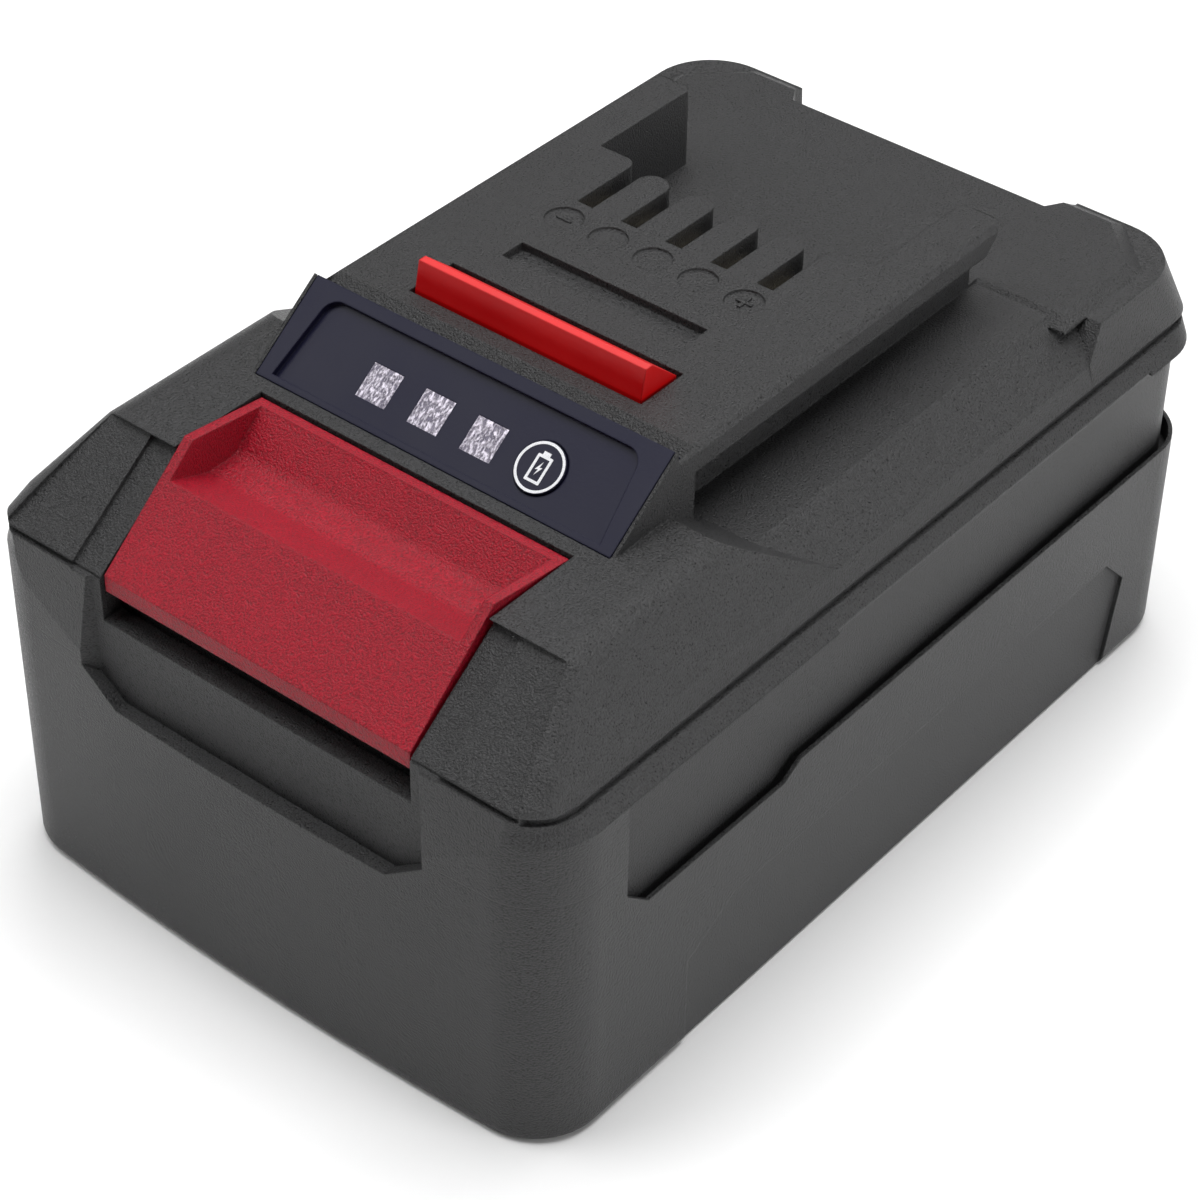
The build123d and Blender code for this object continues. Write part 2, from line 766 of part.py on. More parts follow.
def release_button():
    """Sloped red button with a finger scoop, hollow below, and the arm that carries the latch bar."""
    half = well_half - button_side_gap
    rear = well_rear - button_rear_gap
    outside = [(button_front, button_lip_bottom), (button_front, button_lip_top),
               (button_bend_setback, button_bend_height), (rear, button_rear_height),
               (rear, button_skirt_bottom), (button_front + button_skin, button_skirt_bottom),
               (button_front + button_skin, button_lip_bottom)]
    body = side_prism(outside, half)
    lean = (button_bend_height - button_lip_top) / (button_bend_setback - button_front)
    scoop_edge = button_lip_top + lean * (scoop_front - button_front)
    scoop = [(scoop_front, scoop_edge), (scoop_floor_front, scoop_floor_height),
             (scoop_floor_rear, scoop_floor_height + seat_gap), (scoop_rear, button_rear_height + seat_gap),
             (scoop_rear, button_bend_height + cut_over), (scoop_front, button_bend_height + cut_over)]
    trough = side_prism(scoop, half - scoop_side)
    soft = trough.edges().filter_by(Axis.X).filter_by(
        lambda edge: edge.center().Z < scoop_floor_height + wall
        and edge.center().Y > at(scoop_floor_front - wall))
    trough = fillet(soft, scoop_side + scoop_side)
    inside_front = button_front + button_skin
    inside_bend = inside_front + (arm_top - button_lip_top) / lean
    inside = [(inside_front, button_lip_bottom - cut_over), (inside_front, button_lip_top),
              (inside_bend, arm_top), (rear - button_wall, arm_top),
              (rear - button_wall, button_lip_bottom - cut_over)]
    body = body - trough - side_prism(inside, half - button_wall)
    arm = across(arm_half, at(rear - button_wall), at(latch_rear), arm_top - arm_thickness, arm_top)
    return body + arm


def latch_bar():
    """Red bar with an upright front and a sloped rear, on the button's arm."""
    top = plateau_height + latch_rise
    ridge = latch_front + latch_ridge_setback
    points = [(latch_front, plateau_height - latch_skirt), (latch_front, plateau_height),
              (ridge, top), (ridge + latch_ridge_width, top), (latch_rear, plateau_height),
              (latch_rear, plateau_height - latch_skirt)]
    bar = side_prism(points, latch_half)
    stem = across(latch_half - latch_skirt, at(latch_front + latch_skirt / 2), at(latch_rear), arm_top,
                  plateau_height - latch_skirt)
    return bar + stem


def latch_springs():
    """Two coil springs between their cups and the button."""
    rise = arm_top - cup_floor_height - spring_wire
    helix = Helix(pitch=rise / spring_turns, height=rise, radius=spring_radius)
    section = Plane(origin=helix @ 0, z_dir=helix % 0) * Circle(spring_wire / 2)
    coil = sweep(section, path=helix, is_frenet=True)
    base = cup_floor_height + spring_wire / 2
    place = at(spring_from_front)
    return Compound([Pos(-spring_x, place, base) * coil, Pos(spring_x, place, base) * coil])


def window_places():
    """Places of the three square windows across the gauge panel."""
    return [window_first_x + i * window_pitch for i in range(window_count)]


def gauge_bezel():
    """Slanted panel with a raised border, three windows and the check button's hole."""
    plate = on_gauge(gauge_half, 0, gauge_along, 0, bezel_thickness)
    plate -= gauge_field()
    half = window_size / 2
    for x in window_places():
        plate -= on_gauge(half, window_along - half, window_along + half, -cut_over, cut_over, middle=x)
    plane = gauge_plane()
    plate -= plane * (Pos(check_x, window_along, 0) * Cylinder(check_radius + check_gap, cut_over + cut_over))
    flange = check_radius + check_flange + check_gap
    room = check_flange_thickness + check_travel + seat_gap
    seat = Pos(check_x, window_along, room / 2 - bezel_thickness) * Cylinder(flange, room)
    return plate - plane * seat


def gauge_field():
    """Sunk field of the gauge panel, narrower at the top, with two round corners."""
    low = bezel_border / 2
    high = gauge_along - bezel_border
    points = [(-bezel_field_bottom_half, low), (bezel_field_bottom_half, low),
              (bezel_field_top_half, high), (-bezel_field_top_half, high)]
    face = make_face(Polyline(*points, close=True))
    block = Pos(0, 0, -bezel_field_depth) * extrude(face, cut_over)
    corners = [edge for edge in block.edges().filter_by(Axis.Z) if edge.center().Y > gauge_along / 2]
    return gauge_plane() * fillet(corners, bezel_field_rounding)


def gauge_windows():
    """Three square light windows set in the bezel."""
    half = window_size / 2
    face = bezel_field_depth
    return Compound([on_gauge(half, window_along - half, window_along + half, face,
                              face + window_length, middle=x) for x in window_places()])


def check_button():
    """Round push button on the panel, with a flange behind the bezel."""
    top = check_stand - bezel_field_depth
    shelf = check_flange_thickness + check_travel + seat_gap - bezel_thickness
    face = Pos(check_x, window_along, (top + shelf) / 2) * Cylinder(check_radius, top - shelf)
    low = shelf - check_flange_thickness
    flange = Pos(check_x, window_along, (shelf + low) / 2) * Cylinder(check_radius + check_flange,
                                                                        shelf - low)
    return gauge_plane() * (face + flange)


def gauge_board():
    """Small board behind the bezel."""
    top = bezel_thickness + gauge_board_gap
    return on_gauge(gauge_board_half, gauge_board_margin, gauge_along - gauge_board_margin, top,
                    top + gauge_board_thickness)


def gauge_spacers():
    """Two posts that hold the gauge board to the back of the bezel."""
    reach = gauge_board_half - light_size
    half = light_size / 2
    return Compound([on_gauge(half, gauge_board_margin + half, gauge_along - gauge_board_margin - half,
                              bezel_thickness, bezel_thickness + gauge_board_gap, middle=side * reach)
                     for side in (-1, 1)])


def gauge_lights():
    """Three lights on the gauge board, one behind each window."""
    half = light_size / 2
    top = bezel_thickness + gauge_board_gap
    return Compound([on_gauge(half, window_along - half, window_along + half, top - light_height, top,
                              middle=x) for x in window_places()])


def push_switch():
    """Switch on the gauge board under the check button."""
    half = switch_size / 2
    top = bezel_thickness + gauge_board_gap
    return on_gauge(half, window_along - half, window_along + half, top - switch_height, top,
                    middle=check_x)


def cells():
    """Ten cells across the pack, turned end for end from column to column."""
    found = []
    can = cell_length - cell_nub_height
    for i, y in enumerate(columns):
        side = 1 if i % 2 == 0 else -1
        for z in rows:
            body = Pos(-side * cell_nub_height / 2, y, z) * (Rot(0, 90, 0) * Cylinder(cell_radius, can))
            nub_x = side * (cell_half - cell_nub_height / 2)
            nub = Pos(nub_x, y, z) * (Rot(0, 90, 0) * Cylinder(cell_nub_radius, cell_nub_height))
            found.append(body + nub)
    return Compound(found)


def cell_rings():
    """Insulating rings round the raised ends of the cells."""
    found = []
    for i, y in enumerate(columns):
        side = 1 if i % 2 == 0 else -1
        for z in rows:
            ring = Cylinder(ring_outer_radius, cell_nub_height) - Cylinder(ring_inner_radius, cell_nub_height)
            place = Pos(side * (cell_half - cell_nub_height / 2), y, z)
            found.append(place * (Rot(0, 90, 0) * ring))
    return Compound(found)


def cell_holder(side, lead_column):
    """Frame round one end of the cells, with posts for the main board and a notch for its lead."""
    inner = cell_half - holder_depth
    front = columns[0] - cell_radius - holder_end_wall
    rear = columns[-1] + cell_radius + holder_end_wall
    low = floor_thickness + cell_pad
    block = slab(inner, cell_half, front, rear, low, holder_top)
    rim = slab(cell_half, cell_half + frame_depth, front, rear, low, holder_top)
    rim -= slab(cell_half, cell_half + frame_depth, front + holder_end_wall, rear - holder_end_wall,
                low + holder_wall, holder_top - holder_wall)
    block += rim
    for y in columns:
        for z in rows:
            bore = Rot(0, 90, 0) * Cylinder(cell_radius + bore_gap, cell_length)
            block -= Pos(cell_half, y, z) * bore
    notch = lead_width / 2 + seat_gap
    lead_y = columns[lead_column]
    block -= slab(cell_half, cell_half + strip_thickness + lead_thickness + seat_gap, lead_y - notch,
                  lead_y + notch, holder_top - holder_wall, holder_top)
    for y in board_post_places():
        block += post(board_post_x, y, board_post_radius, holder_top - holder_wall, board_height)
        block -= post(board_post_x, y, board_screw_radius, board_height - board_thickness, board_height)
    return block if side > 0 else block.mirror(Plane.YZ)


def board_post_places():
    """Y places of the main board's posts on each holder."""
    return (at(board_front + board_post_inset), at(board_rear - board_post_inset))


def strip(side, first, last):
    """One nickel strip that joins the cells of the columns from first to last."""
    face = side * cell_half
    y0 = columns[first] - strip_end
    y1 = columns[last] + strip_end
    piece = None
    for z in rows:
        band = slab(face, face + side * strip_thickness, y0, y1, z - strip_width / 2, z + strip_width / 2)
        piece = band if piece is None else piece + band
    for i in range(first, last + 1):
        piece += slab(face, face + side * strip_thickness, columns[i] - strip_end, columns[i] + strip_end,
                      rows[0], rows[-1])
    return piece


def strips(side):
    """Nickel strips on one side; they take the columns in pairs and leave one over."""
    first = 0 if side > 0 else 1
    pairs = [(i, min(i + 1, cell_columns - 1)) for i in range(first, cell_columns, 2)]
    if first:
        pairs.insert(0, (0, 0))
    return Compound([strip(side, a, b) for a, b in pairs])


def insulator_card(side):
    """Card between the strips of one side and the case."""
    x0 = cell_half + strip_thickness + lead_thickness + card_gap
    inset = holder_end_wall + card_gap
    front = columns[0] - cell_radius - holder_end_wall + inset
    rear = columns[-1] + cell_radius + holder_end_wall - inset
    low = floor_thickness + cell_pad + holder_wall + card_gap
    card = slab(x0, x0 + card_thickness, front, rear, low, holder_top - holder_wall - card_gap)
    return card if side > 0 else card.mirror(Plane.YZ)


def cell_pads():
    """Two foam pads on the floor of the lower case, under the holders."""
    front = columns[0] - cell_radius
    rear = columns[-1] + cell_radius
    pad = slab(cell_half - holder_depth, cell_half, front, rear, floor_thickness,
               floor_thickness + cell_pad)
    return both_sides(pad)


def lead(side, column):
    """Flat lead from the last strip of one side, over the holder, to a foot under the main board."""
    y = columns[column]
    half = lead_width / 2
    outer = cell_half + strip_thickness
    edge = cell_half - lead_width
    inner = edge - lead_width
    top = holder_top + lead_thickness
    foot = min(max(y + half, at(board_front + lead_foot)), at(board_rear))
    piece = slab(outer, outer + lead_thickness, y - half, y + half, rows[-1], top)
    piece += slab(edge, outer + lead_thickness, y - half, y + half, holder_top, top)
    piece += slab(inner, edge, y - half, foot, holder_top, top)
    piece += slab(inner, board_half, foot - lead_foot, foot, holder_top, board_height)
    return piece if side > 0 else piece.mirror(Plane.YZ)


def main_board():
    """Control board over the cells."""
    board = across(board_half, at(board_front), at(board_rear), board_height, board_height + board_thickness)
    for y in board_post_places():
        board -= both_sides(post(board_post_x, y, board_screw_radius + seat_gap, cells_top,
                                 board_height + cut_over))
    return board


def board_screws():
    """Four small screws that hold the main board to the holders."""
    found = []
    top = board_height + board_thickness
    for y in board_post_places():
        for side in (-1, 1):
            shank = post(side * board_post_x, y, board_screw_radius, board_height - board_thickness, top)
            head = post(side * board_post_x, y, board_screw_head, top, top + board_screw_head_height)
            found.append(shank + head)
    return Compound(found)


def board_parts():
    """Transistors and a chip on the main board."""
    top = board_height + board_thickness
    chip = across(chip_size / 2, at(chip_from_front) - chip_size / 2, at(chip_from_front) + chip_size / 2,
                  top, top + chip_height)
    found = [chip]
    for i in range(transistor_count):
        x = (i - (transistor_count - 1) / 2) * transistor_pitch
        y = at(transistor_from_front)
        found.append(slab(x - transistor_width / 2, x + transistor_width / 2, y, y + transistor_length, top,
                          top + transistor_height))
    return Compound(found)


def terminal_block():
    """Insulating block round the feet of the terminal clips."""
    top = board_height + board_thickness
    block = across(terminal_block_half, at(terminal_block_front), at(terminal_block_rear), top,
                   rear_floor_height - terminal_block_gap)
    for x in terminal_places:
        block -= slab(x - slot_width / 2, x + slot_width / 2, at(clip_front - clip_play),
                      at(clip_rear + clip_play), top, rear_floor_height)
    return block


def clip(x):
    """Spring clip with two leaves that take a flat blade between them."""
    half = slot_width / 2 - clip_play
    top = board_height + board_thickness
    piece = slab(x - half, x + half, at(clip_front), at(clip_rear), top, top + clip_base)
    for side in (-1, 1):
        piece += slab(x + side * half, x + side * (half - clip_leaf), at(clip_front), at(clip_rear), top,
                      clip_top)
    return piece


def thermistor():
    """Temperature sensor on the middle cell of the upper row."""
    half = thermistor_size / 2
    y = columns[cell_columns // 2]
    return across(half, y - half, y + half, cells_top, board_height - seat_gap)


def gauge_ribbon():
    """Flat cable from the gauge board down to the main board."""
    depth = bezel_thickness + gauge_board_gap + gauge_board_thickness
    drop = gauge_run / gauge_along
    reach = gauge_rise / gauge_along
    along = gauge_along - gauge_board_margin - wall
    y = gauge_bottom_setback + along * drop + depth * reach
    z = gauge_bottom_height + along * reach - depth * drop
    top = board_height + board_thickness
    low = board_front + wall
    points = [(y, z), (y + ribbon_thickness, z), (low, top + ribbon_thickness),
              (low + wall, top + ribbon_thickness), (low + wall, top), (low, top)]
    strip_half = (ribbon_outer - ribbon_inner) / 2
    return Pos(ribbon_inner + strip_half, 0, 0) * side_prism(points, strip_half)


def case_screws():
    """Four screws from below that hold the two halves of the case together."""
    found = []
    for x, y in screw_places():
        base = screw_head_depth
        head = post(x, y, screw_head_radius, base - screw_head_height, base)
        head -= Pos(x, y, base - screw_head_height) * extrude(
            RegularPolygon(screw_socket_radius, 6), screw_socket_depth)
        found.append(head + post(x, y, screw_radius, base, boss_split + screw_grip))
    return Compound(found)


def write(name, piece):
    """Write one sub-part to its own file."""
    export_step(piece, os.path.join("parts", name + ".step"))


def main():
    """Build every sub-part and write it."""
    os.makedirs("parts", exist_ok=True)
    write("lower_case", lower_case())
    write("upper_case", upper_case())
    write("release_button", release_button())
    write("latch_bar", latch_bar())
    write("latch_springs", latch_springs())
    write("gauge_bezel", gauge_bezel())
    write("gauge_windows", gauge_windows())
    write("check_button", check_button())
    write("gauge_board", gauge_board())
    write("gauge_spacers", gauge_spacers())
    write("gauge_lights", gauge_lights())
    write("push_switch", push_switch())
    write("cells", cells())
    write("cell_rings", cell_rings())
    write("cell_holder_right", cell_holder(1, cell_columns - 1))
    write("cell_holder_left", cell_holder(-1, 0))
    write("strips_right", strips(1))
    write("strips_left", strips(-1))
    write("insulator_card_right", insulator_card(1))
    write("insulator_card_left", insulator_card(-1))
    write("cell_pads", cell_pads())
    write("lead_negative", lead(-1, 0))
    write("lead_positive", lead(1, cell_columns - 1))
    write("main_board", main_board())
    write("board_screws", board_screws())
    write("board_parts", board_parts())
    write("terminal_block", terminal_block())
    write("power_terminals", Compound([clip(terminal_places[0]), clip(terminal_places[-1])]))
    write("signal_terminals", Compound([clip(x) for x in terminal_places[1:-1]]))
    write("thermistor", thermistor())
    write("gauge_ribbon", gauge_ribbon())
    write("case_screws", case_screws())


if __name__ == "__main__":
    main()
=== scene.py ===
"""Looks of a ten-cell slide-on battery pack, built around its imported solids. Lengths are in metres."""

import json
import logging
import math
from dataclasses import dataclass, field
from enum import Enum
from typing import Any, Optional, Sequence, Union

import bmesh
import bpy
from mathutils import Matrix, Vector

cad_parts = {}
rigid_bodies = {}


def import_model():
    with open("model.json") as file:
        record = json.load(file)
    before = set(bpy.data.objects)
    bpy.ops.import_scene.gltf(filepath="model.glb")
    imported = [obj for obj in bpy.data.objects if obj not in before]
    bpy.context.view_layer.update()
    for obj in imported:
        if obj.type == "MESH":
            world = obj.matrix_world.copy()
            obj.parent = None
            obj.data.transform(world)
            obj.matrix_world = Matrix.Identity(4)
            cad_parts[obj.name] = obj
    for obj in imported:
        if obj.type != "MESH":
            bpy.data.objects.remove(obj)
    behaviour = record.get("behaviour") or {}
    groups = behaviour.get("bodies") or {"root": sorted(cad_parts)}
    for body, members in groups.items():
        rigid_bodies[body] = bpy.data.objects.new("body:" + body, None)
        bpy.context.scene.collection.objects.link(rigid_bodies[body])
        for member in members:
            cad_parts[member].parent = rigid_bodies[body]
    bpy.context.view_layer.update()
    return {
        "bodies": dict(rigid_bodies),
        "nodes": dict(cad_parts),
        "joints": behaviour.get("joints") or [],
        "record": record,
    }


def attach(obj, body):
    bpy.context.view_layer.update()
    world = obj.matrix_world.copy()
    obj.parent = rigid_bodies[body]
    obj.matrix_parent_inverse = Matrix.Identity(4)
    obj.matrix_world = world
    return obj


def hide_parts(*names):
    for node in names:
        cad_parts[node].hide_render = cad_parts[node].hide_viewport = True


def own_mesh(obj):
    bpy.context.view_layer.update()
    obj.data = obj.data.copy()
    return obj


log = logging.getLogger("battery_pack")

MM = 0.001
HALF_LENGTH = 59.5
BLACK = (0.0, 0.0, 0.0)

Colour = tuple[float, float, float]
Point2 = tuple[float, float]
Number = Union[int, float]


class Signal:
    """A shader value that can stand in Python arithmetic; each operation adds one Math node."""

    def __init__(self, graph: "Graph", socket: bpy.types.NodeSocket) -> None:
        """Wraps one output socket of a graph."""
        self.graph = graph
        self.socket = socket

    def math(self, operation: str, *values: Union["Signal", Number]) -> "Signal":
        """Adds a Math node.

        Args:
            operation: The node's operation.
            values: What its sockets take, in order.

        Returns:
            The node's result.
        """
        node = self.graph.node("ShaderNodeMath", {"operation": operation}, dict(enumerate(values)))
        return Signal(self.graph, node.outputs[0])

    def __add__(self, other: Union["Signal", Number]) -> "Signal":
        """Sum."""
        return self.math("ADD", self, other)

    def __radd__(self, other: Number) -> "Signal":
        """Sum with a number on the left."""
        return self.math("ADD", other, self)

    def __sub__(self, other: Union["Signal", Number]) -> "Signal":
        """Difference."""
        return self.math("SUBTRACT", self, other)

    def __mul__(self, other: Union["Signal", Number]) -> "Signal":
        """Product."""
        return self.math("MULTIPLY", self, other)

    def __rmul__(self, other: Number) -> "Signal":
        """Product with a number on the left."""
        return self.math("MULTIPLY", other, self)

    def __gt__(self, other: Union["Signal", Number]) -> "Signal":
        """One where this value is the larger, else zero."""
        return self.math("GREATER_THAN", self, other)

    def __abs__(self) -> "Signal":
        """Size without its sign."""
        return self.math("ABSOLUTE", self)

    def between(self, low: float, high: float) -> "Signal":
        """Spreads the range from low to high over zero to one, clamped.

        Args:
            low: The value that becomes zero.
            high: The value that becomes one.

        Returns:
            The mapped value.
        """
        node = self.graph.node("ShaderNodeMapRange", {"clamp": True},
                               {"Value": self, "From Min": low, "From Max": high})
        return Signal(self.graph, node.outputs[0])


class Graph:
    """The node graph of one material, with its Principled shader."""

    def __init__(self, name: str) -> None:
        """Makes an empty material with one shader in it."""
        self.material = bpy.data.materials.new(name)
        self.material.use_nodes = True
        self.tree = self.material.node_tree
        self.tree.nodes.clear()
        self.shader = self.node("ShaderNodeBsdfPrincipled", {}, {})
        self.node("ShaderNodeOutputMaterial", {}, {"Surface": self.shader.outputs[0]})

    def node(self, kind: str, settings: dict[str, Any], inputs: dict[Union[str, int], Any]) -> bpy.types.Node:
        """Adds a node.

        Args:
            kind: The node's type.
            settings: Its properties, set first.
            inputs: A value or a link for each named or numbered socket.

        Returns:
            The new node.
        """
        made = self.tree.nodes.new(kind)
        for key, value in settings.items():
            setattr(made, key, value)
        for key, value in inputs.items():
            self.feed(made.inputs[key], value)
        return made

    def feed(self, socket: bpy.types.NodeSocket, value: Any) -> None:
        """Gives a socket a link or a plain value."""
        if isinstance(value, Signal):
            value = value.socket
        if isinstance(value, bpy.types.NodeSocket):
            self.tree.links.new(value, socket)
        else:
            socket.default_value = value

    def surface(self, **inputs: Any) -> None:
        """Feeds the shader's sockets, whose names have spaces for underscores."""
        for key, value in inputs.items():
            self.feed(self.shader.inputs[key.replace("_", " ")], value)

    def place(self, stretch: tuple[float, float, float] = (1.0, 1.0, 1.0)) -> bpy.types.NodeSocket:
        """Coordinates of the object, stretched.

        Args:
            stretch: Factors along the three axes; a small one draws the pattern out.

        Returns:
            The coordinate socket.
        """
        here = self.node("ShaderNodeTexCoord", {}, {}).outputs["Object"]
        scaled = self.node("ShaderNodeVectorMath", {"operation": "MULTIPLY"}, {0: here, 1: stretch})
        return scaled.outputs[0]

    def noise(self, size: float, detail: float = 2.0, stretch: tuple[float, float, float] = (1.0, 1.0, 1.0),
              rough: float = 0.5) -> Signal:
        """Noise of a real size.

        Args:
            size: Width of one patch.
            detail: Octaves of finer noise.
            stretch: Factors along the axes.
            rough: Weight of the finer octaves.

        Returns:
            A value around one half.
        """
        made = self.node("ShaderNodeTexNoise", {},
                         {"Vector": self.place(stretch), "Scale": 1.0 / size, "Detail": detail,
                          "Roughness": rough})
        return Signal(self, made.outputs[0])

    def blend(self, share: Union[Signal, float], first: Any, second: Any) -> bpy.types.NodeSocket:
        """Mixes two colours.

        Args:
            share: How much of the second.
            first: A colour or a colour socket.
            second: A colour or a colour socket.

        Returns:
            The mixed colour.
        """
        made = self.node("ShaderNodeMix", {"data_type": "RGBA"}, {0: share, 6: opaque(first), 7: opaque(second)})
        return made.outputs[2]

    def relief(self, height: Signal, depth: float, edge: float = 0.0) -> bpy.types.NodeSocket:
        """Turns a height into a bumped normal, over edges rounded to a real radius.

        Args:
            height: The height, zero to one.
            depth: The real depth of the relief.
            edge: Radius of the piece's edges, or zero for sharp ones.

        Returns:
            The normal.
        """
        inputs = {"Height": height, "Distance": depth}
        if edge:
            inputs["Normal"] = self.node("ShaderNodeBevel", {"samples": 6}, {"Radius": edge}).outputs[0]
        return self.node("ShaderNodeBump", {}, inputs).outputs[0]


def opaque(colour: Any) -> Any:
    """Gives a plain colour its alpha, and leaves a socket as it is."""
    return (*colour, 1.0) if isinstance(colour, tuple) else colour


def shade(colour: Colour, factor: float) -> Colour:
    """A darker or lighter version of a colour."""
    return tuple(min(1.0, part * factor) for part in colour)


@dataclass(frozen=True)
class GrainedPlastic:
    """Moulded plastic with the fine grain of a spark-eroded tool.

    The colour swings by mottle over a patch and by speckle over a grain, up to the glint peak times the colour; the
    speckle is partly the grain's own tone and partly painted glints on the grain's tops and painted shade in its pits.
    """

    name: str
    colour: Colour
    roughness: float = 0.5
    grain: float = 0.22 * MM
    depth: float = 0.05 * MM
    gleam: float = 0.5
    # The speckle sets how far the grain's colour swings: partly the grain's own tone, partly painted glint and painted
    # pit shade; the glint peak and share set the painted glints.
    speckle_and_sheen: float = 0.2
    glint_peak: float = 4.5
    glint_share: float = 0.7
    dulling: float = 0.12
    haze: float = 0.05
    mottle: float = 0.12
    patch: float = 14.0 * MM
    edge: float = 0.3 * MM

    def build(self) -> bpy.types.Material:
        """Makes the material."""
        graph = Graph(self.name)
        pits = graph.noise(self.grain, 2.0, rough=0.6).between(0.3, 0.7)
        swirl = graph.noise(self.patch, 3.0).between(0.3, 0.7)
        tone = graph.blend(swirl, shade(self.colour, 1 - self.mottle), shade(self.colour, 1 + self.mottle))
        # Dark speckles are painted shade in the grain's pits and light ones are painted glints on its tops, laid over
        # the grain's own tone.
        dark = graph.blend(self.speckle_and_sheen, tone, BLACK)
        light = graph.blend(self.glint_share * self.speckle_and_sheen, tone, shade(self.colour, self.glint_peak))
        roughness = self.roughness + self.dulling * (pits - 0.5) + self.haze * (swirl - 0.5)
        graph.surface(Base_Color=graph.blend(pits, dark, light), Roughness=roughness,
                      Normal=graph.relief(pits, self.depth, self.edge), Specular_IOR_Level=self.gleam)
        return graph.material


@dataclass(frozen=True)
class GlossPlastic:
    """Smooth moulded plastic with a faint orange peel and rubbed patches."""

    name: str
    colour: Colour
    roughness: float = 0.25
    peel: float = 1.8 * MM
    depth: float = 0.012 * MM
    coat: float = 0.0
    gleam: float = 0.5
    edge: float = 0.25 * MM

    def build(self) -> bpy.types.Material:
        """Makes the material."""
        graph = Graph(self.name)
        peel = graph.noise(self.peel, 2.0)
        fine = graph.noise(0.2 * MM, 2.0)
        rubbed = graph.noise(9.0 * MM, 4.0).between(0.35, 0.7)
        tone = graph.blend(rubbed, self.colour, shade(self.colour, 1.12))
        graph.surface(Base_Color=tone, Roughness=self.roughness + 0.08 * rubbed,
                      Normal=graph.relief(peel + 0.25 * fine, self.depth, self.edge), Coat_Weight=self.coat,
                      Specular_IOR_Level=self.gleam)
        return graph.material


@dataclass(frozen=True)
class CrinkledFilm:
    """Silvery light window with a finely crinkled face, its crinkles painted with shade in the creases and sheen on the
    ridges.
    """

    name: str
    colour: Colour
    dark: Colour
    crease: float = 0.45 * MM
    depth: float = 0.09 * MM

    def build(self) -> bpy.types.Material:
        """Makes the material."""
        graph = Graph(self.name)
        crease = graph.noise(self.crease, 4.0, (1.6, 0.7, 0.7), 0.65).between(0.42, 0.58)
        cloud = graph.noise(1.6 * MM, 2.0).between(0.3, 0.7)
        # The dark colour in the creases is painted shade and the bright colour on the ridges is painted sheen,
        # following the crinkles' bump.
        tone = graph.blend(crease, self.dark, self.colour)
        tone = graph.blend(cloud * 0.2, tone, shade(self.colour, 0.72))
        graph.surface(Base_Color=tone, Roughness=0.32 + 0.2 * crease, Metallic=0.35,
                      Normal=graph.relief(crease, self.depth))
        return graph.material


@dataclass(frozen=True)
class RolledMetal:
    """Sheet or wire metal with drawn streaks and darker handled patches."""

    name: str
    colour: Colour
    roughness: float = 0.3
    streak: tuple[float, float, float] = (1.0, 0.08, 1.0)
    dulled: float = 0.75

    def build(self) -> bpy.types.Material:
        """Makes the material."""
        graph = Graph(self.name)
        lines = graph.noise(0.12 * MM, 3.0, self.streak)
        patch = graph.noise(3.0 * MM, 3.0).between(0.4, 0.75)
        tone = graph.blend(patch, self.colour, shade(self.colour, self.dulled))
        graph.surface(Base_Color=tone, Metallic=1.0, Roughness=self.roughness + 0.15 * lines + 0.12 * patch,
                      Normal=graph.relief(lines, 0.004 * MM))
        return graph.material


@dataclass(frozen=True)
class PressedCard:
    """Fibrous insulating card."""

    name: str
    colour: Colour

    def build(self) -> bpy.types.Material:
        """Makes the material."""
        graph = Graph(self.name)
        fibre = graph.noise(0.25 * MM, 4.0, (1.0, 0.3, 1.0))
        fleck = graph.noise(0.5 * MM, 2.0) > 0.64
        tone = graph.blend(fibre, shade(self.colour, 0.8), shade(self.colour, 1.15))
        tone = graph.blend(fleck * 0.4, tone, shade(self.colour, 0.55))
        graph.surface(Base_Color=tone, Roughness=0.75 + 0.1 * fibre, Normal=graph.relief(fibre, 0.02 * MM))
        return graph.material


@dataclass(frozen=True)
class ShrinkSleeve:
    """Cells in a glossy shrink sleeve, with bare steel at both ends."""

    name: str
    colour: Colour
    steel: Colour
    bare_from: float

    def build(self) -> bpy.types.Material:
        """Makes the material."""
        graph = Graph(self.name)
        parts = graph.node("ShaderNodeSeparateXYZ", {}, {0: graph.place()})
        bare = abs(Signal(graph, parts.outputs[0])) > self.bare_from
        wave = graph.noise(2.5 * MM, 2.0, (0.3, 1.0, 1.0))
        sleeve = graph.blend(wave, shade(self.colour, 0.85), shade(self.colour, 1.15))
        graph.surface(Base_Color=graph.blend(bare, sleeve, self.steel), Metallic=bare * 0.9,
                      Roughness=0.26 + 0.1 * wave + 0.08 * bare, Normal=graph.relief(wave, 0.03 * MM))
        return graph.material


@dataclass(frozen=True)
class SolderMask:
    """Green circuit board with copper tracks under its mask."""

    name: str
    colour: Colour

    def build(self) -> bpy.types.Material:
        """Makes the material."""
        graph = Graph(self.name)
        cells = graph.node("ShaderNodeTexVoronoi", {"distance": "MANHATTAN"},
                           {"Vector": graph.place(), "Scale": 1.0 / (3.2 * MM), "Randomness": 0.55})
        track = Signal(graph, cells.outputs["Distance"]).between(0.42, 0.5)
        grime = graph.noise(6.0 * MM, 3.0)
        tone = graph.blend(track, self.colour, shade(self.colour, 1.9))
        tone = graph.blend(grime * 0.3, tone, shade(self.colour, 0.6))
        graph.surface(Base_Color=tone, Roughness=0.3 + 0.1 * grime, Normal=graph.relief(track, 0.03 * MM))
        return graph.material


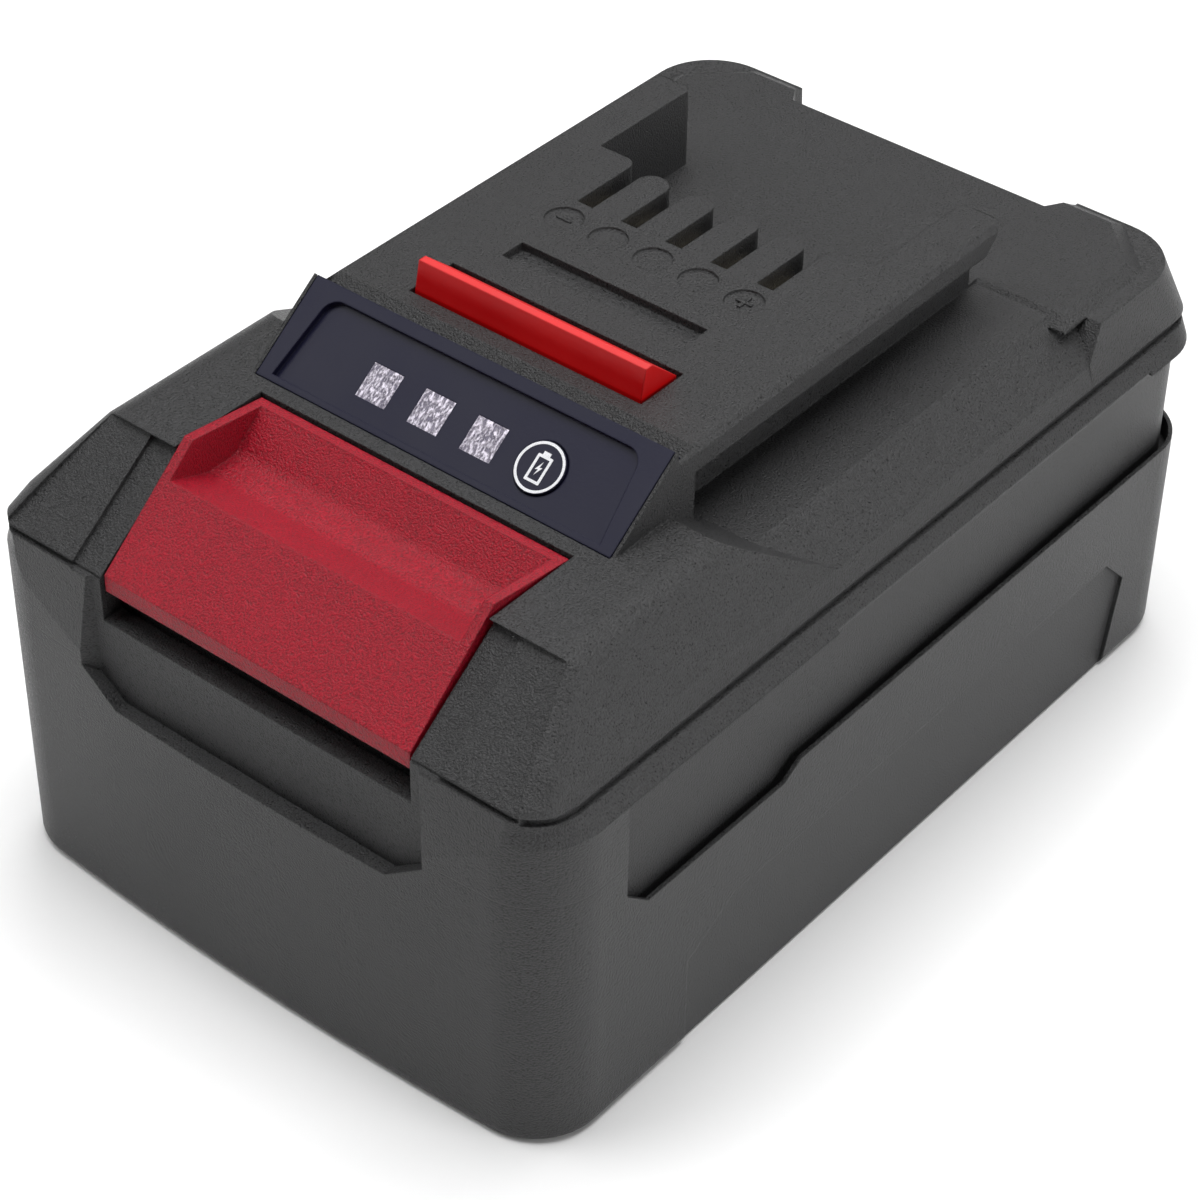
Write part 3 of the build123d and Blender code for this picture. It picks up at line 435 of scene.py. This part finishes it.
@dataclass(frozen=True)
class CellFoam:
    """Closed-cell foam."""

    name: str
    colour: Colour

    def build(self) -> bpy.types.Material:
        """Makes the material."""
        graph = Graph(self.name)
        bubble = graph.node("ShaderNodeTexVoronoi", {}, {"Vector": graph.place(), "Scale": 1.0 / (0.4 * MM)})
        skin = Signal(graph, bubble.outputs["Distance"])
        tone = graph.blend(skin, shade(self.colour, 0.5), shade(self.colour, 1.4))
        graph.surface(Base_Color=tone, Roughness=0.9, Normal=graph.relief(skin, 0.08 * MM))
        return graph.material


@dataclass(frozen=True)
class FilmCable:
    """Flat film cable with parallel conductors."""

    name: str
    film: Colour
    line: Colour

    def build(self) -> bpy.types.Material:
        """Makes the material."""
        graph = Graph(self.name)
        wave = graph.node("ShaderNodeTexWave", {"bands_direction": "X"},
                          {"Vector": graph.place(), "Scale": 1.0 / (2.4 * MM)})
        track = Signal(graph, wave.outputs["Fac"])
        graph.surface(Base_Color=graph.blend(track.between(0.45, 0.6), self.film, self.line), Roughness=0.4,
                      Normal=graph.relief(track, 0.02 * MM))
        return graph.material


@dataclass(frozen=True)
class PrintedInk:
    """Thin screen-printed ink with a slightly ragged density."""

    name: str
    colour: Colour

    def build(self) -> bpy.types.Material:
        """Makes the material."""
        graph = Graph(self.name)
        mesh = graph.noise(0.09 * MM, 3.0).between(0.3, 0.62)
        graph.surface(Base_Color=graph.blend(mesh, shade(self.colour, 0.72), self.colour), Roughness=0.5,
                      Normal=graph.relief(mesh, 0.01 * MM))
        return graph.material


@dataclass(frozen=True)
class StudioPaper:
    """The pale floor."""

    name: str
    colour: Colour

    def build(self) -> bpy.types.Material:
        """Makes the material."""
        graph = Graph(self.name)
        tooth = graph.noise(1.5 * MM, 3.0)
        graph.surface(Base_Color=graph.blend(tooth, shade(self.colour, 0.99), self.colour), Roughness=0.9,
                      Specular_IOR_Level=0.1)
        return graph.material


class Slot(Enum):
    """The pack's finishes, by the record's material slots."""

    CASE = "case_plastic"
    BUTTON = "button_red"
    LATCH = "latch_red"
    GAUGE = "gauge_plastic"
    WINDOW = "gauge_window"
    LENS = "light_lens"
    SPRING = "spring_steel"
    INNER = "inner_plastic"
    BOARD = "board_green"
    CHIP = "chip_black"
    SLEEVE = "cell_wrap"
    CARD = "card_paper"
    NICKEL = "nickel"
    CONTACT = "contact_metal"
    SCREW = "screw_steel"
    FOAM = "foam"
    RIBBON = "ribbon_white"


FINISHES = {
    Slot.CASE: GrainedPlastic("charcoal_grained_plastic", (0.0165, 0.0165, 0.017), 0.40, depth=0.09 * MM,
                              gleam=0.4, speckle_and_sheen=0.8, dulling=0.34),
    Slot.BUTTON: GrainedPlastic("crimson_grained_plastic", (0.225, 0.002, 0.011), 0.42, depth=0.07 * MM,
                                gleam=0.32, speckle_and_sheen=0.35, dulling=0.2),
    Slot.LATCH: GlossPlastic("bright_red_plastic", (0.58, 0.001, 0.002), 0.34, depth=0.02 * MM),
    Slot.GAUGE: GlossPlastic("blue_black_plastic", (0.007, 0.007, 0.022), 0.36, peel=0.5 * MM, depth=0.02 * MM,
                             gleam=0.2),
    # The window's dark second colour is painted shade for its creases.
    Slot.WINDOW: CrinkledFilm("silver_lilac_window", (0.82, 0.77, 0.88), (0.09, 0.08, 0.12)),
    Slot.LENS: GlossPlastic("water_white_lens", (0.75, 0.80, 0.72), 0.12, coat=0.6),
    Slot.SPRING: RolledMetal("spring_wire", (0.55, 0.55, 0.56), 0.22),
    Slot.INNER: GrainedPlastic("inner_black_plastic", (0.018, 0.018, 0.018), 0.5, depth=0.02 * MM),
    Slot.BOARD: SolderMask("green_solder_mask", (0.012, 0.10, 0.035)),
    Slot.CHIP: GrainedPlastic("chip_epoxy", (0.013, 0.013, 0.014), 0.55, grain=0.12 * MM, depth=0.01 * MM),
    Slot.SLEEVE: ShrinkSleeve("cell_sleeve", (0.012, 0.15, 0.11), (0.55, 0.55, 0.54), 32.0 * MM),
    Slot.CARD: PressedCard("insulating_card", (0.33, 0.40, 0.37)),
    Slot.NICKEL: RolledMetal("rolled_nickel", (0.62, 0.60, 0.55), 0.28),
    Slot.CONTACT: RolledMetal("tinned_contact", (0.66, 0.58, 0.44), 0.24, (1.0, 1.0, 0.08)),
    Slot.SCREW: RolledMetal("black_oxide_steel", (0.10, 0.10, 0.105), 0.36, (1.0, 1.0, 1.0)),
    Slot.FOAM: CellFoam("closed_cell_foam", (0.06, 0.06, 0.06)),
    Slot.RIBBON: FilmCable("film_cable", (0.70, 0.70, 0.66), (0.40, 0.24, 0.12)),
}


@dataclass
class Dresser:
    """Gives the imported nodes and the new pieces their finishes."""

    nodes: dict[str, bpy.types.Object]
    made: dict[Slot, bpy.types.Material] = field(default_factory=dict)

    def finish(self, slot: Slot) -> bpy.types.Material:
        """The material of a slot, made once."""
        if slot not in self.made:
            self.made[slot] = FINISHES[slot].build()
        return self.made[slot]

    def dress(self, name: str, slot: Slot) -> None:
        """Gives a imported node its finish."""
        node = self.nodes[name]
        for index in range(len(node.material_slots)):
            node.material_slots[index].material = self.finish(slot)
        log.info("%s: %s", name, slot.value)


class Sketch:
    """Collects flat shapes on a plane and raises them into closed thin solids."""

    def __init__(self, place: Matrix) -> None:
        """Takes the plane, whose X and Y lie in it and whose Z is its normal."""
        self.place = place
        self.mesh = bmesh.new()

    def ring(self, points: Sequence[Point2], height: float) -> list[bmesh.types.BMVert]:
        """Adds one loop of vertices at a height over the plane, from points in millimetres."""
        return [self.mesh.verts.new(self.place @ Vector((x * MM, y * MM, height * MM))) for x, y in points]

    def plate(self, points: Sequence[Point2], low: float, high: float) -> None:
        """Adds a solid plate.

        Args:
            points: Its outline in millimetres, counter-clockwise.
            low: Underside over the plane.
            high: Top over the plane.
        """
        under, top = self.ring(points, low), self.ring(points, high)
        self.mesh.faces.new(top)
        self.mesh.faces.new(under[::-1])
        self.walls(under, top)

    def walls(self, under: list[bmesh.types.BMVert], top: list[bmesh.types.BMVert]) -> None:
        """Joins two loops with a wall."""
        count = len(top)
        for i in range(count):
            j = (i + 1) % count
            self.mesh.faces.new((under[i], under[j], top[j], top[i]))

    def band(self, outer: Sequence[Point2], inner: Sequence[Point2], low: float, high: float) -> None:
        """Adds a closed band between two outlines with the same number of points.

        Args:
            outer: The outer outline in millimetres, counter-clockwise.
            inner: The inner outline.
            low: Underside over the plane.
            high: Top over the plane.
        """
        loops = [self.ring(points, height) for points, height in
                 ((outer, low), (outer, high), (inner, high), (inner, low))]
        for index, loop in enumerate(loops):
            self.walls(loop, loops[(index + 1) % len(loops)])

    def finish(self, name: str) -> bpy.types.Object:
        """Turns the collected shapes into one object.

        Args:
            name: The piece's name.

        Returns:
            The piece.
        """
        bmesh.ops.recalc_face_normals(self.mesh, faces=self.mesh.faces)
        bmesh.ops.triangulate(self.mesh, faces=[f for f in self.mesh.faces if len(f.verts) > 4])
        data = bpy.data.meshes.new(name)
        self.mesh.to_mesh(data)
        self.mesh.free()
        piece = bpy.data.objects.new(name, data)
        bpy.context.scene.collection.objects.link(piece)
        return piece


def circle(radius: float, count: int = 72) -> list[Point2]:
    """Points of a circle about the origin, counter-clockwise."""
    turn = 2 * math.pi / count
    return [(radius * math.cos(i * turn), radius * math.sin(i * turn)) for i in range(count)]


def rectangle(half_x: float, low_y: float, high_y: float, corner: float = 0.0) -> list[Point2]:
    """Points of a rectangle about the Y axis, with rounded corners if asked."""
    if not corner:
        return [(-half_x, low_y), (half_x, low_y), (half_x, high_y), (-half_x, high_y)]
    found = []
    centres = ((half_x, low_y, 1, 1), (half_x, high_y, 1, -1), (-half_x, high_y, -1, -1), (-half_x, low_y, -1, 1))
    for quarter, (x, y, inward_x, inward_y) in enumerate(centres):
        for step in range(5):
            angle = math.radians(-90 + quarter * 90 + step * 22.5)
            found.append((x - inward_x * corner + corner * math.cos(angle),
                          y + inward_y * corner + corner * math.sin(angle)))
    return found


def moved(points: Sequence[Point2], x: float, y: float) -> list[Point2]:
    """The points, shifted."""
    return [(px + x, py + y) for px, py in points]


@dataclass
class ChargeGauge:
    """Slanted gauge panel with three windows and the printed check button; sizes in millimetres."""

    dresser: Dresser
    lower_edge: tuple[float, float] = (28.3, 54.3)
    upper_edge: tuple[float, float] = (38.2, 61.6)
    button_x: float = 11.4
    button_along: float = 4.9
    button_sink: float = 0.4
    ink: float = 0.03
    line: float = 0.3
    ring_radius: float = 2.8
    body_half: float = 0.95
    body_low: float = -1.75
    body_high: float = 1.3
    body_corner: float = 0.12
    body_inner_corner: float = 0.05
    cap_half: float = 0.45
    cap_rise: float = 0.42
    bolt: tuple[Point2, ...] = ((0.12, 0.62), (-0.38, -0.36), (-0.03, -0.26), (-0.18, -0.98), (0.36, 0.02),
                                (0.02, -0.06))
    white: Colour = (0.86, 0.87, 0.90)

    def plane(self) -> Matrix:
        """The button's face as a plane, X across the pack and Y up the slope."""
        setback, height = self.lower_edge
        run, rise = self.upper_edge[0] - setback, self.upper_edge[1] - height
        along = Vector((0, run, rise)).normalized()
        out = Vector((0, -along.z, along.y))
        start = Vector((self.button_x, setback - HALF_LENGTH, height))
        centre = (start + along * self.button_along - out * self.button_sink) * MM
        frame = Matrix((Vector((1, 0, 0)), along, out)).transposed().to_4x4()
        return Matrix.Translation(centre) @ frame

    def symbol(self) -> bpy.types.Object:
        """Prints a ring with a plain battery and a bolt on the check button."""
        sketch = Sketch(self.plane())
        sketch.band(circle(self.ring_radius), circle(self.ring_radius - self.line), 0, self.ink)
        half, low, high, line = self.body_half, self.body_low, self.body_high, self.line
        sketch.band(rectangle(half, low, high, self.body_corner),
                    rectangle(half - line, low + line, high - line, self.body_inner_corner), 0, self.ink)
        cap = self.cap_half
        sketch.plate(rectangle(cap, high, high + self.cap_rise), 0, self.ink)
        sketch.plate(self.bolt, 0, self.ink)
        piece = sketch.finish("check_symbol")
        piece.data.materials.append(PrintedInk("white_ink", self.white).build())
        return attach(piece, "check")

    def build(self) -> None:
        """Dresses the gauge's nodes and prints its symbol."""
        for name, slot in (("gauge_bezel", Slot.GAUGE), ("gauge_windows", Slot.WINDOW),
                           ("check_button", Slot.GAUGE), ("gauge_board", Slot.BOARD),
                           ("gauge_spacers", Slot.INNER), ("gauge_lights", Slot.LENS),
                           ("push_switch", Slot.INNER), ("gauge_ribbon", Slot.RIBBON)):
            self.dresser.dress(name, slot)
        log.info("check symbol: %s", self.symbol().name)


@dataclass
class PolarityMarks:
    """Raised minus and plus in the outer two of the five shallow discs; sizes in millimetres."""

    dresser: Dresser
    setback: float = 64.5
    pitch: float = 6.14
    floor_height: float = 60.45
    rise: float = 0.16
    reach: float = 1.05
    half_line: float = 0.22
    bar_corner_share: float = 0.6

    def bar(self, sketch: Sketch, x: float) -> None:
        """Adds a minus."""
        half = self.half_line
        sketch.plate(moved(rectangle(self.reach, -half, half, half * self.bar_corner_share), x, 0), 0, self.rise)

    def cross(self, sketch: Sketch, x: float) -> None:
        """Adds a plus as one outline, so that its bars don't lie in each other."""
        r, h = self.reach, self.half_line
        quarter = [(h, -r), (h, -h), (r, -h)]
        points = []
        for turn in range(4):
            c, s = round(math.cos(turn * math.pi / 2)), round(math.sin(turn * math.pi / 2))
            points += [(c * a - s * b, s * a + c * b) for a, b in quarter]
        sketch.plate(moved(points, x, 0), 0, self.rise)

    def build(self) -> None:
        """Makes both marks, each its own piece."""
        place = Matrix.Translation(Vector((0, self.setback - HALF_LENGTH, self.floor_height)) * MM)
        for name, x, draw in (("minus_mark", -2 * self.pitch, self.bar), ("plus_mark", 2 * self.pitch, self.cross)):
            sketch = Sketch(place)
            draw(sketch, x)
            piece = sketch.finish(name)
            piece.data.materials.append(self.dresser.finish(Slot.CASE))
            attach(piece, "case")
            log.info("%s rides on the case", name)


@dataclass
class CaseShell:
    """The two case halves and the screws that hold them."""

    dresser: Dresser

    def build(self) -> None:
        """Dresses the case."""
        self.dresser.dress("upper_case", Slot.CASE)
        self.dresser.dress("lower_case", Slot.CASE)
        self.dresser.dress("case_screws", Slot.SCREW)
        PolarityMarks(self.dresser).build()


@dataclass
class ReleaseLatch:
    """The red release button, its latch bar and springs; the travel, in millimetres, is not used."""

    dresser: Dresser
    travel: float = 3.5

    def coils(self) -> bpy.types.Object:
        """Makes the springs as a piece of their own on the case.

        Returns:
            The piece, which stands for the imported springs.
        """
        data = self.dresser.nodes["latch_springs"].data.copy()
        data.materials.clear()
        data.materials.append(self.dresser.finish(Slot.SPRING))
        piece = bpy.data.objects.new("latch_coils", data)
        bpy.context.scene.collection.objects.link(piece)
        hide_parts("latch_springs")
        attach(piece, "case")
        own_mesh(piece)
        return piece

    def build(self) -> None:
        """Dresses the latch and makes its springs."""
        self.dresser.dress("release_button", Slot.BUTTON)
        self.dresser.dress("latch_bar", Slot.LATCH)
        self.dresser.dress("latch_springs", Slot.SPRING)
        log.info("%s shortens with the button", self.coils().name)


@dataclass
class CellBlock:
    """Ten cells with their holders, strips, cards, pads and leads."""

    dresser: Dresser

    def build(self) -> None:
        """Dresses the cell block."""
        self.dresser.dress("cells", Slot.SLEEVE)
        self.dresser.dress("cell_rings", Slot.CARD)
        self.dresser.dress("cell_pads", Slot.FOAM)
        for side in ("right", "left"):
            self.dresser.dress(f"cell_holder_{side}", Slot.INNER)
            self.dresser.dress(f"strips_{side}", Slot.NICKEL)
            self.dresser.dress(f"insulator_card_{side}", Slot.CARD)
        self.dresser.dress("lead_negative", Slot.NICKEL)
        self.dresser.dress("lead_positive", Slot.NICKEL)


@dataclass
class MainBoard:
    """The main board with its parts, the terminals and the thermistor."""

    dresser: Dresser

    def build(self) -> None:
        """Dresses the board and what it carries."""
        for name, slot in (("main_board", Slot.BOARD), ("board_screws", Slot.SCREW), ("board_parts", Slot.CHIP),
                           ("terminal_block", Slot.INNER), ("power_terminals", Slot.CONTACT),
                           ("signal_terminals", Slot.CONTACT), ("thermistor", Slot.CHIP)):
            self.dresser.dress(name, slot)


@dataclass(frozen=True)
class Softbox:
    """One rectangular light: where it hangs, its width and height, and its power in watts."""

    name: str
    place: tuple[float, float, float]
    size: tuple[float, float]
    power: float


SOFTBOXES = (
    Softbox("overhead_softbox", (0.0, 0.05, 1.1), (0.8, 0.8), 12.5),
    Softbox("rear_left_softbox", (-0.437, 0.562, 0.62), (0.5, 0.4), 1.15),
    Softbox("left_softbox", (-0.75, -0.35, 0.45), (0.7, 0.5), 1.3),
    Softbox("front_left_softbox", (-0.44, -0.40, 0.75), (0.5, 0.5), 2.0),
    Softbox("rear_softbox", (0.0, 0.9, 0.6), (0.8, 0.4), 2.2),
    Softbox("right_softbox", (0.85, 0.15, 0.28), (0.5, 0.5), 3.4),
)


@dataclass
class Studio:
    """Pale floor, soft lights and the camera at the photograph's viewing angle; the floor's depth is in millimetres."""

    camera_place: tuple[float, float, float] = (0.1811, -0.2277, 0.2549)
    right: tuple[float, float, float] = (0.7717, 0.6358, 0.0133)
    up: tuple[float, float, float] = (-0.4106, 0.4822, 0.7739)
    back: tuple[float, float, float] = (0.4856, -0.6027, 0.6332)
    lens: float = 99.12
    sensor: float = 36.0
    nearest: float = 0.01
    farthest: float = 50.0
    floor_half: float = 6.0
    floor_depth: float = 20.0
    floor_colour: Colour = (0.93, 0.93, 0.93)
    aim_height: float = 0.03
    sky: float = 0.02

    def floor(self) -> None:
        """Lays the floor."""
        sketch = Sketch(Matrix.Identity(4))
        half = self.floor_half / MM
        sketch.plate([(-half, -half), (half, -half), (half, half), (-half, half)], -self.floor_depth, 0)
        floor = sketch.finish("studio_floor")
        floor.data.materials.append(StudioPaper("studio_paper", self.floor_colour).build())

    def hang(self, box: Softbox) -> None:
        """Hangs one light that faces the pack."""
        data = bpy.data.lights.new(box.name, "AREA")
        data.shape = "RECTANGLE"
        data.size, data.size_y = box.size
        data.energy = box.power
        light = bpy.data.objects.new(box.name, data)
        light.location = box.place
        aim = Vector((0, 0, self.aim_height)) - Vector(box.place)
        light.rotation_euler = aim.to_track_quat("-Z", "Y").to_euler()
        bpy.context.scene.collection.objects.link(light)

    def lights(self) -> None:
        """Sets the sky and the softboxes."""
        world = bpy.data.worlds.new("studio_sky")
        bpy.context.scene.world = world
        world.use_nodes = True
        sky = world.node_tree.nodes["Background"]
        sky.inputs[0].default_value = (1.0, 1.0, 1.0, 1.0)
        sky.inputs[1].default_value = self.sky
        for box in SOFTBOXES:
            self.hang(box)

    def camera(self) -> None:
        """Sets the camera."""
        data = bpy.data.cameras.new("photograph_view")
        data.lens = self.lens
        data.sensor_width = self.sensor
        data.clip_start, data.clip_end = self.nearest, self.farthest
        camera = bpy.data.objects.new("photograph_view", data)
        turn = Matrix((self.right, self.up, self.back)).transposed().to_4x4()
        camera.matrix_world = Matrix.Translation(self.camera_place) @ turn
        bpy.context.scene.collection.objects.link(camera)
        bpy.context.scene.camera = camera

    def build(self) -> None:
        """Sets up the studio."""
        bpy.context.scene.view_settings.view_transform = "Standard"
        self.floor()
        self.lights()
        self.camera()


def main() -> None:
    """Builds the studio and every sub-assembly in order."""
    logging.basicConfig(level=logging.INFO, format="%(message)s")
    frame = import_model()
    dresser = Dresser(frame["nodes"])
    Studio().build()
    for assembly in (CaseShell, ReleaseLatch, ChargeGauge, CellBlock, MainBoard):
        assembly(dresser).build()
        log.info("%s is dressed", assembly.__name__)


if __name__ == "__main__":
    main()
